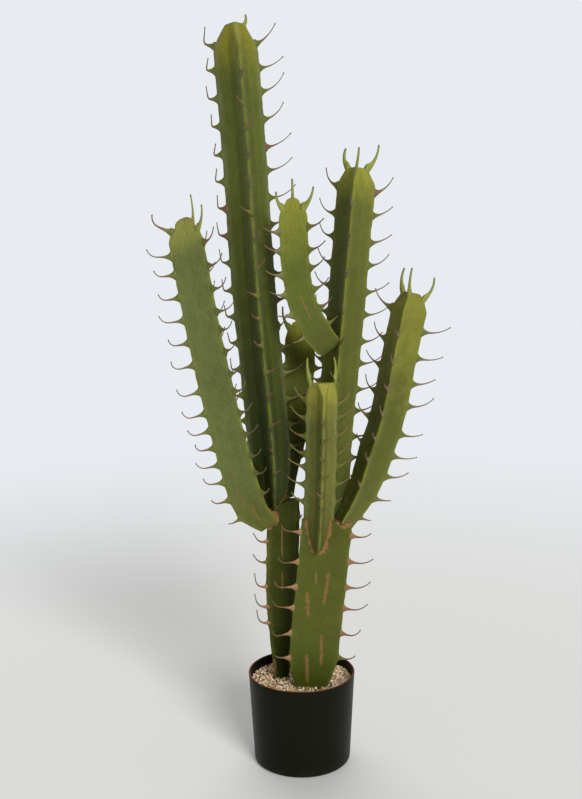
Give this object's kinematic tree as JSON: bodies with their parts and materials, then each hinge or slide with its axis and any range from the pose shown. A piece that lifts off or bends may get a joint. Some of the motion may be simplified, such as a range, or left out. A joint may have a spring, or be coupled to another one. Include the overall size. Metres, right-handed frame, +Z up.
{
  "type": "potted artificial cactus",
  "caption": "Artificial candelabra cactus of three-ribbed green stems with hooked spines, standing in a round black pot filled with pale gravel.",
  "frame": {"origin": "centre of the pot's flat underside", "axes": "+Z up, +X to the viewer's right in the picture, -Y towards the viewer"},
  "size_m": [0.4005, 0.194, 1.0249],
  "materials": {
    "pot": "satin",
    "gravel": "matt",
    "old_stem": "matt, leathery",
    "stem": "matt, leathery",
    "young_stem": "matt, leathery"
  },
  "bodies": {
    "root": {"pot": "pot", "gravel_bed": "gravel", "trunk_left": "old_stem", "trunk_right": "old_stem", "stem_tall": "stem", "stem_back": "stem", "stem_right": "stem", "arm_left": "stem", "arm_front": "young_stem", "arm_right": "stem", "arm_upper": "young_stem"}
  },
  "joints": []
}
